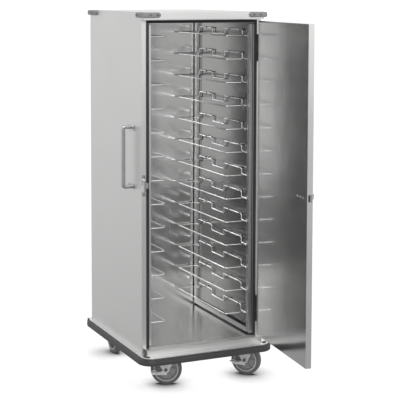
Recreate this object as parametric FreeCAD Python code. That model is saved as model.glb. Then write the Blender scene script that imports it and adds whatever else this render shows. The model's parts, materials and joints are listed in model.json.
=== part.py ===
import FreeCAD, Part
import math
import os

# Insulated tray cart: a stainless double-walled cabinet on a bumpered deck,
# with one door on the right, thirteen pairs of wire tray slides and casters.
# Millimetres. +Z is up, the door side faces -Y, and the origin is on the
# ground under the centre of the cabinet. The door is drawn open.

# ---------------------------------------------------------------- driving sizes
CABINET_WIDTH = 622.0
CABINET_DEPTH = 705.0
OVERALL_HEIGHT = 1796.0
DECK_LEVEL = 182.0          # top of the deck, where the cabinet stands
CAP_HEIGHT = 35.0
CAP_OVERHANG = 34.0         # the cap reaches over the closed door
SKIN = 1.2                  # outer sheet
LINER = 1.0                 # inner sheet
INNER_HALF_WIDTH = 274.0
INNER_BACK = 318.0
FLOOR_LEVEL = 208.0
CEILING_LEVEL = 1743.0

DOOR_WIDTH = 590.0
DOOR_THICKNESS = 27.0
DOOR_GAP = 7.0              # between the jambs and the closed door
DOOR_BOTTOM = 220.0
DOOR_TOP = 1752.0
DOOR_OPEN = 84.5            # degrees from closed, as drawn
HINGE_X = 302.5
HINGE_Y = -382.0
HINGE_LENGTH = 130.0
HINGE_LEVELS = (340.0, 1622.0)
KNUCKLE_RADIUS = 5.0
PIN_RADIUS = 3.0
PIN_CLEARANCE = 0.06

TRAY_LEVELS = 13
TRAY_PITCH = 114.3
LOWEST_TRAY = 307.0
ROD = 6.4                   # slide wire diameter
LEDGE_X = 160.0             # inner rod of a ledge
GUARD_X = 265.0             # guard rod beside the wall
GUARD_RISE = 28.0
POST_FACE = 258.0
POST_WIDTH = 25.0
POST_FLANGE = 14.0
FRONT_POST_Y = -338.0
REAR_POST_Y = 283.0

BUMPER_HALF_WIDTH = 346.0
BUMPER_FRONT = -460.0
BUMPER_BACK = 387.0
BUMPER_CORNER = 70.0
BUMPER_THICKNESS = 12.0
BUMPER_BOTTOM = 148.0
BUMPER_TOP = 178.0
TRACK = 3.0
DECK_SHEET = 2.5

WHEEL_RADIUS = 76.0
WHEEL_WIDTH = 32.0
TRAIL = 68.0                # swivel axis to axle, along the ground
PLATE_TOP = 170.0
AXLE_RADIUS = 5.0
RUNNING = 0.06              # radial clearance of a turning fit
FRONT_CASTERS = {"front_left": (-219.0, -257.0, -27.0), "front_right": (219.0, -257.0, -49.0)}
REAR_CASTERS = {"rear_left": (-202.0, 304.0, 90.0), "rear_right": (202.0, 304.0, 90.0)}

LATCH_LEVEL = 985.0
HANDLE_Y = -226.0
HANDLE_TOP = 1259.0
HANDLE_BOTTOM = 957.0
HANDLE_REACH = 52.0         # side panel to the grip's outer face
HANDLE_WIDTH = 24.0
HANDLE_THICKNESS = 16.0

PAD = 15.0                  # thickness of the cap's corner pads
PAD_REACH = 80.0

# ---------------------------------------------------------------- worked out
HALF_WIDTH = CABINET_WIDTH / 2
FRONT = -CABINET_DEPTH / 2
BACK = CABINET_DEPTH / 2
CAP_BOTTOM = OVERALL_HEIGHT - CAP_HEIGHT
CAP_FRONT = FRONT - CAP_OVERHANG
CAP_CORNERS = ((CAP_FRONT, 1, PAD_REACH), (BACK, -1, PAD_REACH + 25.0))
JAMB_WIDTH = 23.0
JAMB_INNER = HALF_WIDTH - JAMB_WIDTH
GASKET_PROUD = 6.5
GASKET_TOP = CAP_BOTTOM - 3.5
SKIN_FRONT = FRONT + SKIN
DOOR_HINGE_EDGE = 295.0
DOOR_FREE_EDGE = DOOR_HINGE_EDGE - DOOR_WIDTH
DOOR_INNER = FRONT - DOOR_GAP
DOOR_OUTER = DOOR_INNER - DOOR_THICKNESS
TRAY_HEIGHTS = [LOWEST_TRAY + TRAY_PITCH * i for i in range(TRAY_LEVELS)]
Z = FreeCAD.Vector(0, 0, 1)


def vec(x, y, z):
    return FreeCAD.Vector(x, y, z)


def box(x0, x1, y0, y1, z0, z1):
    """Box between two corners, given in either order."""
    low = vec(min(x0, x1), min(y0, y1), min(z0, z1))
    return Part.makeBox(abs(x1 - x0), abs(y1 - y0), abs(z1 - z0), low)


def rod_along(axis, radius, start, length):
    """Cylinder from a start point along a row axis."""
    direction = {"x": vec(1, 0, 0), "y": vec(0, 1, 0), "z": Z}[axis]
    return Part.makeCylinder(radius, length, vec(*start), direction)


def prism(points, direction):
    """Solid swept from a flat outline."""
    corners = [vec(*p) for p in points]
    face = Part.Face(Part.makePolygon(corners + corners[:1]))
    return face.extrude(vec(*direction))


def group(solids):
    return Part.makeCompound(solids)


def mirrored(shape):
    """The same piece on the other side of the cabinet."""
    return shape.mirror(vec(0, 0, 0), vec(1, 0, 0))


def bent_rod(points, bend, diameter):
    """Round rod along a polyline whose corners are arcs of the bend radius."""
    corners = [vec(*p) for p in points]
    edges = []
    start = corners[0]
    for before, corner, after in zip(corners, corners[1:], corners[2:]):
        back = (before - corner).normalize()
        ahead = (after - corner).normalize()
        half = back.getAngle(ahead) / 2
        reach = bend / math.tan(half)
        middle = (back + ahead).normalize() * (bend / math.sin(half) - bend)
        leave = corner + back * reach
        meet = corner + ahead * reach
        edges.append(Part.LineSegment(start, leave).toShape())
        edges.append(Part.Arc(leave, corner + middle, meet).toShape())
        start = meet
    edges.append(Part.LineSegment(start, corners[-1]).toShape())
    section = Part.Circle(corners[0], (corners[1] - corners[0]).normalize(), diameter / 2)
    return Part.Wire(edges).makePipeShell([Part.Wire(section.toShape())], True, True)


def rounded_block(half_width, y0, y1, z0, z1, radius):
    """Block with rounded upright edges."""
    block = box(-half_width, half_width, y0, y1, z0, z1)
    upright = [e for e in block.Edges if abs(e.Vertexes[0].Z - e.Vertexes[1].Z) > 1.0]
    return block.makeFillet(radius, upright)


def ring(inset, thickness, z0, z1):
    """Closed band that follows the bumper's outline, at an inset from it."""
    outer = rounded_block(BUMPER_HALF_WIDTH - inset, BUMPER_FRONT + inset, BUMPER_BACK - inset,
                          z0, z1, BUMPER_CORNER - inset)
    deep = inset + thickness
    inner = rounded_block(BUMPER_HALF_WIDTH - deep, BUMPER_FRONT + deep, BUMPER_BACK - deep,
                          z0 - 1, z1 + 1, BUMPER_CORNER - deep)
    return outer.cut(inner)


def dome_head(radius, height, at, normal):
    """Low button head seated on a face."""
    axis = vec(*normal)
    head = Part.makeCylinder(radius, height, vec(*at), axis)
    rim = [e for e in head.Edges if (e.CenterOfMass - vec(*at)).dot(axis) > height * 0.9
           and e.Closed]
    return head.makeFillet(height * 0.7, rim)


# ---------------------------------------------------------------- cabinet shell
def side_panel():
    return box(-HALF_WIDTH, -HALF_WIDTH + SKIN, SKIN_FRONT, BACK - SKIN, DECK_LEVEL, CAP_BOTTOM)


def back_panel():
    return box(-HALF_WIDTH, HALF_WIDTH, BACK - SKIN, BACK, DECK_LEVEL, CAP_BOTTOM)


def top_cap():
    """Folded tray with a closed underside where it overhangs the door."""
    outer = box(-HALF_WIDTH, HALF_WIDTH, CAP_FRONT, BACK, CAP_BOTTOM, OVERALL_HEIGHT)
    hollow = box(-HALF_WIDTH + SKIN, HALF_WIDTH - SKIN, CAP_FRONT + SKIN, BACK - SKIN,
                 CAP_BOTTOM - 1, OVERALL_HEIGHT - SKIN)
    soffit = box(-HALF_WIDTH + SKIN, HALF_WIDTH - SKIN, CAP_FRONT + SKIN, FRONT,
                 CAP_BOTTOM, CAP_BOTTOM + SKIN)
    return outer.cut(hollow).fuse(soffit).removeSplitter()


def side_liner():
    return box(-INNER_HALF_WIDTH - LINER, -INNER_HALF_WIDTH, SKIN_FRONT, INNER_BACK,
               FLOOR_LEVEL - SKIN, CEILING_LEVEL)


def back_liner():
    return box(-INNER_HALF_WIDTH - LINER, INNER_HALF_WIDTH + LINER, INNER_BACK,
               INNER_BACK + LINER, FLOOR_LEVEL - SKIN, CEILING_LEVEL)


def ceiling_liner():
    return box(-INNER_HALF_WIDTH - LINER, INNER_HALF_WIDTH + LINER, SKIN_FRONT,
               INNER_BACK + LINER, CEILING_LEVEL, CEILING_LEVEL + LINER)


def floor_pan():
    """Floor sheet with a front flange turned down to the deck."""
    sheet = box(-INNER_HALF_WIDTH, INNER_HALF_WIDTH, FRONT, INNER_BACK,
                FLOOR_LEVEL - SKIN, FLOOR_LEVEL)
    flange = box(-INNER_HALF_WIDTH, INNER_HALF_WIDTH, FRONT, SKIN_FRONT, DECK_LEVEL,
                 FLOOR_LEVEL - SKIN)
    return sheet.fuse(flange).removeSplitter()


def insulation():
    """Slabs that fill the space between the skins."""
    outer_x = HALF_WIDTH - SKIN
    inner_x = INNER_HALF_WIDTH + LINER
    rear = BACK - SKIN
    side = box(-outer_x, -inner_x, SKIN_FRONT, rear, DECK_LEVEL, CAP_BOTTOM)
    behind = box(-inner_x, inner_x, INNER_BACK + LINER, rear, DECK_LEVEL, CAP_BOTTOM)
    above = box(-inner_x, inner_x, SKIN_FRONT, INNER_BACK + LINER, CEILING_LEVEL + LINER,
                CAP_BOTTOM)
    below = box(-inner_x, inner_x, SKIN_FRONT, INNER_BACK + LINER, DECK_LEVEL,
                FLOOR_LEVEL - SKIN)
    cap = box(-outer_x, outer_x, FRONT, rear, CAP_BOTTOM + SKIN, OVERALL_HEIGHT - SKIN)
    return group([side, mirrored(side), behind, above, below, cap])


def jamb():
    """Front post of the shell, scored where the sill begins."""
    strip = box(-HALF_WIDTH, -JAMB_INNER, FRONT, SKIN_FRONT, DECK_LEVEL, CAP_BOTTOM)
    score = box(-HALF_WIDTH - 1, -JAMB_INNER + 1, FRONT - 1, FRONT + 0.7, FLOOR_LEVEL,
                FLOOR_LEVEL + 3.0)
    return strip.cut(score)


def header():
    return box(-JAMB_INNER, JAMB_INNER, FRONT, SKIN_FRONT, GASKET_TOP, CAP_BOTTOM)


def sill():
    """Bent nosing in front of the opening, with open ends."""
    nose = FRONT - 43.5
    half = 301.0
    outline = [(FRONT, FLOOR_LEVEL), (nose, FLOOR_LEVEL), (nose, DECK_LEVEL),
               (nose + 16, DECK_LEVEL), (nose + 16, DECK_LEVEL + SKIN),
               (nose + SKIN, DECK_LEVEL + SKIN), (nose + SKIN, FLOOR_LEVEL - SKIN),
               (FRONT, FLOOR_LEVEL - SKIN)]
    return prism([(-half, y, z) for y, z in outline], (2 * half, 0, 0))


def gasket():
    """Bulb seal on both jambs and under the cap, notched for the strike."""
    face = FRONT - GASKET_PROUD
    left = box(-JAMB_INNER, -INNER_HALF_WIDTH, face, SKIN_FRONT, FLOOR_LEVEL, GASKET_TOP)
    right = mirrored(left)
    notch = box(-JAMB_INNER - 1, -INNER_HALF_WIDTH + 1, face - 1, FRONT - 0.1,
                LATCH_LEVEL - 14, LATCH_LEVEL + 14)
    top = box(-INNER_HALF_WIDTH, INNER_HALF_WIDTH, face, FRONT, CEILING_LEVEL, GASKET_TOP)
    return group([left.cut(notch), right, top])


def corner_bumpers():
    """Soft pads that wrap the four upper corners of the cap."""
    low = OVERALL_HEIGHT - 26.0
    high = OVERALL_HEIGHT - 1.0
    pads = []
    for x_sign in (-1, 1):
        for face_y, into, side_reach in CAP_CORNERS:
            x = x_sign * HALF_WIDTH
            out_x = x + x_sign * PAD
            out_y = face_y - into * PAD
            along_x = box(out_x, x - x_sign * PAD_REACH, out_y, face_y, low, high)
            along_y = box(out_x, x, out_y, face_y + into * side_reach, low, high)
            pad = along_x.fuse(along_y).removeSplitter()
            upright = [e for e in pad.Edges if abs(e.Vertexes[0].Z - e.Vertexes[1].Z) > 1.0]
            corner = [e for e in upright
                      if abs(e.CenterOfMass.x - out_x) < 0.1
                      and abs(e.CenterOfMass.y - out_y) < 0.1]
            ends = [e for e in upright
                    if (abs(e.CenterOfMass.x - out_x) < 0.1)
                    != (abs(e.CenterOfMass.y - out_y) < 0.1)]
            pads.append(pad.makeFillet(14.0, corner + ends))
    return group(pads)


def corner_bumper_screws():
    """Two sunk heads on each leg of each pad."""
    heads = []
    level = OVERALL_HEIGHT - 13.5
    for x_sign in (-1, 1):
        for face_y, into, side_reach in CAP_CORNERS:
            for back in (PAD_REACH * 0.34, PAD_REACH * 0.80 - 2.0):
                x = x_sign * (HALF_WIDTH - back)
                heads.append(dome_head(4.0, 1.4, (x, face_y - into * PAD, level), (0, -into, 0)))
            for back in (side_reach * 0.50, side_reach * 0.80 - 2.0):
                x = x_sign * (HALF_WIDTH + PAD)
                y = face_y + into * back
                heads.append(dome_head(4.0, 1.4, (x, y, level), (x_sign, 0, 0)))
    return group(heads)


# ---------------------------------------------------------------- base
def deck_plate():
    """Deck sheet with its four corners notched clear of the round bumper."""
    edge = BUMPER_THICKNESS + TRACK
    sheet = rounded_block(BUMPER_HALF_WIDTH - edge, BUMPER_FRONT + edge, BUMPER_BACK - edge,
                          DECK_LEVEL - DECK_SHEET, DECK_LEVEL, BUMPER_CORNER - edge)
    front_notch = box(-BUMPER_HALF_WIDTH, -296.0, BUMPER_FRONT, FRONT - 45.0,
                      DECK_LEVEL - 5, DECK_LEVEL + 1)
    rear_notch = box(-BUMPER_HALF_WIDTH, -300.0, BACK + 2.0, BUMPER_BACK, DECK_LEVEL - 5,
                     DECK_LEVEL + 1)
    for notch in (front_notch, rear_notch):
        sheet = sheet.cut(notch).cut(mirrored(notch))
    return sheet


def base_rails():
    """Two long box rails under the deck edges and three cross rails between."""
    top = DECK_LEVEL - DECK_SHEET
    wall = 2.0

    def tube(x0, x1, y0, y1):
        outer = box(x0, x1, y0, y1, PLATE_TOP, top)
        return outer.cut(box(x0 + wall, x1 - wall, y0 + wall, y1 - wall, PLATE_TOP + wall,
                             top - wall))

    outside = BUMPER_HALF_WIDTH - BUMPER_CORNER + 18.0
    side = tube(-outside, -150.0, BUMPER_FRONT + 33, BUMPER_BACK - 33)
    crosses = [tube(-150.0, 150.0, y - 45, y + 45) for y in (-257.0, 20.0, 304.0)]
    return group([side, mirrored(side)] + crosses)


def bumper_track():
    """Extrusion that holds the bumper, with a lip over the deck's edge."""
    web = ring(BUMPER_THICKNESS, TRACK, BUMPER_BOTTOM + 2, DECK_LEVEL + 1.5)
    lip = ring(BUMPER_THICKNESS + TRACK, 5.0, DECK_LEVEL, DECK_LEVEL + 1.5)
    return web.fuse(lip).removeSplitter()


def bumper_rubber():
    return ring(0.0, BUMPER_THICKNESS, BUMPER_BOTTOM, BUMPER_TOP)


# ---------------------------------------------------------------- rack
def post(y0):
    """Slotted channel, open towards the right liner, on stand-off studs."""
    wall = 1.5
    low, high = FLOOR_LEVEL + 8, CEILING_LEVEL - 8
    outer = box(POST_FACE, POST_FACE + POST_FLANGE, y0, y0 + POST_WIDTH, low, high)
    hollow = box(POST_FACE + wall, INNER_HALF_WIDTH, y0 + wall, y0 + POST_WIDTH - wall,
                 FLOOR_LEVEL, CEILING_LEVEL)
    pitch = TRAY_PITCH / 3
    slots = [box(POST_FACE - 1, POST_FACE + wall + 1, y0 + 10, y0 + 15,
                 LOWEST_TRAY - 47 + pitch * i, LOWEST_TRAY - 33 + pitch * i)
             for i in range(TRAY_LEVELS * 3)]
    channel = outer.cut(hollow).cut(group(slots))
    for z in (low + 20, LOWEST_TRAY + TRAY_PITCH * 4.5, LOWEST_TRAY + TRAY_PITCH * 8.5, high - 20):
        stud = rod_along("x", 5.0, (POST_FACE + wall, y0 + POST_WIDTH / 2, z),
                         INNER_HALF_WIDTH - POST_FACE - wall)
        channel = channel.fuse(stud)
    return channel.removeSplitter()


def post_pair(y0):
    right = post(y0)
    return group([right, mirrored(right)])


def post_foot_rails():
    """Low angles that tie each pair of posts along the floor."""
    wall = 1.5
    back = FRONT_POST_Y + POST_WIDTH
    upright = box(POST_FACE, POST_FACE + wall, back, REAR_POST_Y, FLOOR_LEVEL + 8,
                  FLOOR_LEVEL + 30)
    shelf = box(POST_FACE + wall, INNER_HALF_WIDTH, back, REAR_POST_Y, FLOOR_LEVEL + 8,
                FLOOR_LEVEL + 8 + wall)
    rail = upright.fuse(shelf).removeSplitter()
    return group([rail, mirrored(rail)])


def ledge(z):
    """U-shaped rod that carries a tray's rim, from the guard to the rear post."""
    front = -280.0
    rear = REAR_POST_Y + 12.5
    return bent_rod([(GUARD_X - ROD / 2, front, z), (LEDGE_X, front, z), (LEDGE_X, rear, z),
                     (POST_FACE, rear, z)], 9.0, ROD)


def guard(z):
    """Stepped rod along the wall that keeps a tray from sliding off sideways."""
    high = z + GUARD_RISE
    steps = ((-243.0, z, high), (-43.0, high, z), (102.0, z, high), (262.0, high, z))
    points = [(GUARD_X, FRONT_POST_Y + POST_WIDTH, z)]
    for y, before, after in steps:
        points.append((GUARD_X, y, before))
        points.append((GUARD_X, y, after))
    points.append((GUARD_X, REAR_POST_Y, z))
    return bent_rod(points, 6.0, ROD)


def slide_rods(shape_at):
    """One slide rod at every tray level on the right side."""
    first = shape_at(0.0)
    rods = []
    for z in TRAY_HEIGHTS:
        rod = first.copy()
        rod.translate(vec(0, 0, z))
        rods.append(rod)
    return group(rods)


# ---------------------------------------------------------------- fittings
def pull_handle():
    """Square-cornered flat grip on two base plates, on the left side."""
    out = -HALF_WIDTH - HANDLE_REACH
    y0, y1 = HANDLE_Y - HANDLE_WIDTH / 2, HANDLE_Y + HANDLE_WIDTH / 2
    bow = box(out, -HALF_WIDTH, y0, y1, HANDLE_BOTTOM, HANDLE_TOP)
    bow = bow.cut(box(out + HANDLE_THICKNESS, -HALF_WIDTH + 1, y0 - 1, y1 + 1,
                      HANDLE_BOTTOM + HANDLE_THICKNESS, HANDLE_TOP - HANDLE_THICKNESS))
    outside = [e for e in bow.Edges if abs(e.CenterOfMass.x - out) < 0.1
               and abs(e.CenterOfMass.y - HANDLE_Y) < 0.1]
    bow = bow.makeFillet(9.0, outside)
    plates = [box(-HALF_WIDTH - 3.0, -HALF_WIDTH, HANDLE_Y - 38, HANDLE_Y + 38, z, z + 24)
              for z in (HANDLE_BOTTOM, HANDLE_TOP - 24)]
    return bow.fuse(plates[0]).fuse(plates[1]).removeSplitter()


def fitting_screws():
    """Button heads of the two handles and the strike plate."""
    left = [dome_head(4.5, 2.2, (-HALF_WIDTH - 3.0, HANDLE_Y + dy, z), (-1, 0, 0))
            for z in (HANDLE_TOP - 12, HANDLE_BOTTOM + 12) for dy in (-26.0, 26.0)]
    plate = [dome_head(4.2, 1.8, (-300.0, FRONT - 2.0, LATCH_LEVEL + dz), (0, -1, 0))
             for dz in (-41.0, 43.0)]
    return group(left + [mirrored(head) for head in left] + plate)


def strike():
    """Jamb plate with a magnet housing and a tongue across the gasket."""
    plate = box(-310.0, -291.0, FRONT - 2.0, FRONT, LATCH_LEVEL - 50, LATCH_LEVEL + 52)
    housing = box(-310.0, -298.0, FRONT - 20.0, FRONT - 2.0, LATCH_LEVEL - 28,
                  LATCH_LEVEL + 30)
    front_edges = [e for e in housing.Edges if abs(e.CenterOfMass.y - (FRONT - 20.0)) < 0.1]
    housing = housing.makeFillet(2.5, front_edges)
    tongue = box(-292.0, -279.0, FRONT - 4.5, FRONT - 2.0, LATCH_LEVEL - 13, LATCH_LEVEL + 13)
    return plate.fuse(housing).fuse(tongue).removeSplitter()


def knuckle(level, low, high, bore):
    """Hinge barrel between two heights, measured from the middle of the hinge."""
    start = vec(HINGE_X, HINGE_Y, level + low)
    barrel = Part.makeCylinder(KNUCKLE_RADIUS, high - low, start)
    return barrel.cut(Part.makeCylinder(bore, high - low + 2, start - Z))


def jamb_leaf(level):
    """Leaf on the jamb with a wing that carries the two outer knuckles."""
    half = HINGE_LENGTH / 2
    face = box(290.5, 303.5, FRONT - 3.0, FRONT, level - half, level + half)
    leaf = face
    for low, high in ((-half, -22.0), (22.0, half)):
        wing = box(297.0, 300.0, HINGE_Y, FRONT - 3.0, level + low, level + high)
        wing = wing.cut(Part.makeCylinder(PIN_RADIUS, high - low + 2,
                                          vec(HINGE_X, HINGE_Y, level + low - 1)))
        leaf = leaf.fuse(wing).fuse(knuckle(level, low, high, PIN_RADIUS))
    return leaf.removeSplitter()


def door_leaf(level):
    """Leaf on the door's edge with the middle knuckle."""
    low, high = -21.5, 21.5
    plate = box(DOOR_HINGE_EDGE, DOOR_HINGE_EDGE + 1.5, DOOR_OUTER, DOOR_INNER - 2,
                level + low, level + high)
    arm = box(DOOR_HINGE_EDGE + 1.5, HINGE_X, HINGE_Y - 3, HINGE_Y + 3, level + low,
              level + high)
    bore = PIN_RADIUS + PIN_CLEARANCE
    arm = arm.cut(Part.makeCylinder(bore, high - low + 2, vec(HINGE_X, HINGE_Y, level + low - 1)))
    return plate.fuse(arm).fuse(knuckle(level, low, high, bore)).removeSplitter()


def hinge_pins():
    """Pins pressed in the jamb leaves' knuckles."""
    half = HINGE_LENGTH / 2
    return group([Part.makeCylinder(PIN_RADIUS, HINGE_LENGTH, vec(HINGE_X, HINGE_Y, z - half))
                  for z in HINGE_LEVELS])


# ---------------------------------------------------------------- door, drawn closed
def door_outer_skin():
    """Tray-shaped skin: the outer face with four edges turned in."""
    outer = box(DOOR_FREE_EDGE, DOOR_HINGE_EDGE, DOOR_OUTER, DOOR_INNER, DOOR_BOTTOM, DOOR_TOP)
    hollow = box(DOOR_FREE_EDGE + SKIN, DOOR_HINGE_EDGE - SKIN, DOOR_OUTER + SKIN,
                 DOOR_INNER + 1, DOOR_BOTTOM + SKIN, DOOR_TOP - SKIN)
    return outer.cut(hollow)


def door_inner_skin():
    return box(DOOR_FREE_EDGE + SKIN, DOOR_HINGE_EDGE - SKIN, DOOR_INNER - LINER, DOOR_INNER,
               DOOR_BOTTOM + SKIN, DOOR_TOP - SKIN)


def door_insulation():
    return box(DOOR_FREE_EDGE + SKIN, DOOR_HINGE_EDGE - SKIN, DOOR_OUTER + SKIN,
               DOOR_INNER - LINER, DOOR_BOTTOM + SKIN, DOOR_TOP - SKIN)


LATCH_PIVOT_X = DOOR_FREE_EDGE + 100.0
LATCH_PIVOT_Y = DOOR_OUTER - 12.0


def latch_base():
    """Cast housing set back on the door's outer face, and a slotted plate in its free edge."""
    low, high = LATCH_LEVEL - 17, LATCH_LEVEL + 17
    back = box(DOOR_FREE_EDGE + 38, DOOR_FREE_EDGE + 119, DOOR_OUTER - 4, DOOR_OUTER, low, high)
    cheeks = [box(LATCH_PIVOT_X - 8, LATCH_PIVOT_X + 8, DOOR_OUTER - 19, DOOR_OUTER - 4, a, b)
              for a, b in ((low, low + 4), (high - 4, high))]
    pin = rod_along("z", 2.5, (LATCH_PIVOT_X, LATCH_PIVOT_Y, low), high - low)
    housing = back.fuse(cheeks[0]).fuse(cheeks[1]).fuse(pin).removeSplitter()
    edge_plate = box(DOOR_FREE_EDGE - 1.2, DOOR_FREE_EDGE, DOOR_INNER - 23, DOOR_INNER - 3,
                     low, high)
    slot = box(DOOR_FREE_EDGE - 2, DOOR_FREE_EDGE + 1, DOOR_INNER - 14, DOOR_INNER - 6,
               low + 2, high - 2)
    return group([housing, edge_plate.cut(slot)])


def latch_lever():
    """Pull lever on the latch pin: its free end swings away from the door."""
    low, high = LATCH_LEVEL - 12.5, LATCH_LEVEL + 12.5
    hub = rod_along("z", 6.0, (LATCH_PIVOT_X, LATCH_PIVOT_Y, low), high - low)
    grip = box(DOOR_FREE_EDGE + 46, LATCH_PIVOT_X, LATCH_PIVOT_Y - 5, LATCH_PIVOT_Y + 1, low, high)
    lip = box(DOOR_FREE_EDGE + 42, DOOR_FREE_EDGE + 48, LATCH_PIVOT_Y - 11, LATCH_PIVOT_Y + 1,
              low, high)
    bore = rod_along("z", 2.5 + RUNNING, (LATCH_PIVOT_X, LATCH_PIVOT_Y, low - 1),
                     high - low + 2)
    return grip.fuse(lip).fuse(hub).cut(bore).removeSplitter()


def latch_screws():
    """Through screws whose heads show on the door's inner face."""
    return group([dome_head(5.0, 2.6, (x, DOOR_INNER, LATCH_LEVEL - 4), (0, 1, 0))
                  for x in (DOOR_FREE_EDGE + 45, DOOR_FREE_EDGE + 77, DOOR_FREE_EDGE + 109)])


def opened(shape):
    """A door piece, turned about the hinge from closed to the drawn angle."""
    turned = shape.copy()
    turned.rotate(vec(HINGE_X, HINGE_Y, 0), Z, DOOR_OPEN)
    return turned


# ---------------------------------------------------------------- casters
# Each caster is drawn about its own upright axis with its trail along +X.
def placed(shape, place):
    x, y, heading = place
    turned = shape.copy()
    turned.rotate(vec(0, 0, 0), Z, heading)
    turned.translate(vec(x, y, 0))
    return turned


LEG_INNER = WHEEL_WIDTH / 2 + 1.8
LEG_OUTER = LEG_INNER + 4.0


def swivel_plate():
    """Top plate with the kingpin and the upper race."""
    plate = box(-52, 52, -42, 42, PLATE_TOP - 4, PLATE_TOP)
    upright = [e for e in plate.Edges if abs(e.Vertexes[0].Z - e.Vertexes[1].Z) > 1.0]
    plate = plate.makeFillet(8.0, upright)
    race = Part.makeCylinder(30.0, 4.0, vec(0, 0, PLATE_TOP - 8))
    kingpin = Part.makeCylinder(8.0, 10.0, vec(0, 0, PLATE_TOP - 14))
    return plate.fuse(race).fuse(kingpin).removeSplitter()


def fork_leg(axle_x, top_from, top_to, y0, y1, top):
    """Side plate that narrows from the crown to the axle, fullest above the boss."""
    shoulder = top - 34.0
    boss = 17.0
    outline = [(top_from, top), (top_to, top), (top_to, shoulder),
               (axle_x + 29, WHEEL_RADIUS + 22), (axle_x + boss, WHEEL_RADIUS),
               (axle_x - boss, WHEEL_RADIUS), (axle_x - 34, WHEEL_RADIUS + 22),
               (top_from, shoulder)]
    leg = prism([(x, y0, z) for x, z in outline], (0, y1 - y0, 0))
    end = rod_along("y", boss, (axle_x, y0, WHEEL_RADIUS), y1 - y0)
    hole = rod_along("y", AXLE_RADIUS, (axle_x, y0 - 1, WHEEL_RADIUS), y1 - y0 + 2)
    return leg.fuse(end).cut(hole)


def swivel_fork():
    """Pressed fork: a crown under the race and two legs down to the axle."""
    crown_top = PLATE_TOP - 8.4
    crown = Part.makeCylinder(34.0, 5.0, vec(0, 0, crown_top - 5))
    bridge = box(0, TRAIL + 34, -LEG_OUTER, LEG_OUTER, crown_top - 5, crown_top)
    body = crown.fuse(bridge)
    for y0, y1 in ((-LEG_OUTER, -LEG_INNER), (LEG_INNER, LEG_OUTER)):
        body = body.fuse(fork_leg(TRAIL, TRAIL - 48, TRAIL + 34, y0, y1, crown_top))
    bore = Part.makeCylinder(8.0 + RUNNING, 20.0, vec(0, 0, crown_top - 12))
    return body.cut(bore).removeSplitter()


def rigid_fork():
    """Fixed fork welded to its own top plate, with the axle under the middle."""
    body = box(-52, 52, -42, 42, PLATE_TOP - 4, PLATE_TOP)
    body = body.fuse(box(-46, 46, -LEG_OUTER, LEG_OUTER, PLATE_TOP - 12, PLATE_TOP - 4))
    for y0, y1 in ((-LEG_OUTER, -LEG_INNER), (LEG_INNER, LEG_OUTER)):
        body = body.fuse(fork_leg(0.0, -46, 46, y0, y1, PLATE_TOP - 12))
    return body.removeSplitter()


def axle_bolt(axle_x, head_face, nut_face):
    """Hexagon bolt through both fork legs with its nut."""
    shank = rod_along("y", AXLE_RADIUS, (axle_x, head_face, WHEEL_RADIUS), nut_face - head_face)

    def hexagon(y, depth):
        corners = [(axle_x + 9 * math.cos(math.radians(60 * k)), y,
                    WHEEL_RADIUS + 9 * math.sin(math.radians(60 * k))) for k in range(6)]
        return prism(corners, (0, depth, 0))

    return shank.fuse(hexagon(head_face, -6)).fuse(hexagon(nut_face, 7)).removeSplitter()


def tyre(axle_x):
    """Tread ring with rounded shoulders, flat where the rim lips sit."""
    half = WHEEL_WIDTH / 2
    seat = WHEEL_RADIUS - 18
    a = (seat, -half + 2)
    b = (seat + 3, -half + 2)
    c = (seat + 6, -half)
    d = (WHEEL_RADIUS - 7, -half)
    e = (WHEEL_RADIUS, -half + 8)

    def at(p, flip=1):
        return vec(axle_x + p[0], flip * p[1], WHEEL_RADIUS)

    shoulder = (WHEEL_RADIUS - 1.9, -half + 2.6)
    edges = [Part.LineSegment(at(a), at(b)).toShape(),
             Part.LineSegment(at(b), at(c)).toShape(),
             Part.LineSegment(at(c), at(d)).toShape(),
             Part.Arc(at(d), at(shoulder), at(e)).toShape(),
             Part.LineSegment(at(e), at(e, -1)).toShape(),
             Part.Arc(at(e, -1), at(shoulder, -1), at(d, -1)).toShape(),
             Part.LineSegment(at(d, -1), at(c, -1)).toShape(),
             Part.LineSegment(at(c, -1), at(b, -1)).toShape(),
             Part.LineSegment(at(b, -1), at(a, -1)).toShape(),
             Part.LineSegment(at(a, -1), at(a)).toShape()]
    face = Part.Face(Part.Wire(edges))
    return face.revolve(vec(axle_x, 0, WHEEL_RADIUS), vec(0, 1, 0), 360)


def wheel_core(axle_x):
    """Rim with lips, thin web, six ribs and a bored hub."""
    seat = WHEEL_RADIUS - 18
    half = WHEEL_WIDTH / 2 - 2

    def disc(radius, reach):
        return rod_along("y", radius, (axle_x, -reach, WHEEL_RADIUS), 2 * reach)

    rim = disc(seat, half).cut(disc(seat - 6, half + 1))
    lips = [rod_along("y", seat + 2.5, (axle_x, y, WHEEL_RADIUS), 1.0)
            .cut(rod_along("y", seat - 3, (axle_x, y - 1, WHEEL_RADIUS), 3.0))
            for y in (-half - 1.0, half)]
    body = rim.fuse(lips[0]).fuse(lips[1]).fuse(disc(seat - 5, 3.5)).fuse(disc(15.0, 17.0))
    for k in range(6):
        rib = box(12, seat - 4, -9.0, 9.0, -2.5, 2.5)
        rib.rotate(vec(0, 0, 0), vec(0, 1, 0), 60 * k)
        rib.translate(vec(axle_x, 0, WHEEL_RADIUS))
        body = body.fuse(rib)
    bore = disc(AXLE_RADIUS + RUNNING, 20.0)
    return body.cut(bore).removeSplitter()


PEDAL_IN = LEG_OUTER + 0.5
PEDAL_OUT = PEDAL_IN + 3.0


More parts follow.
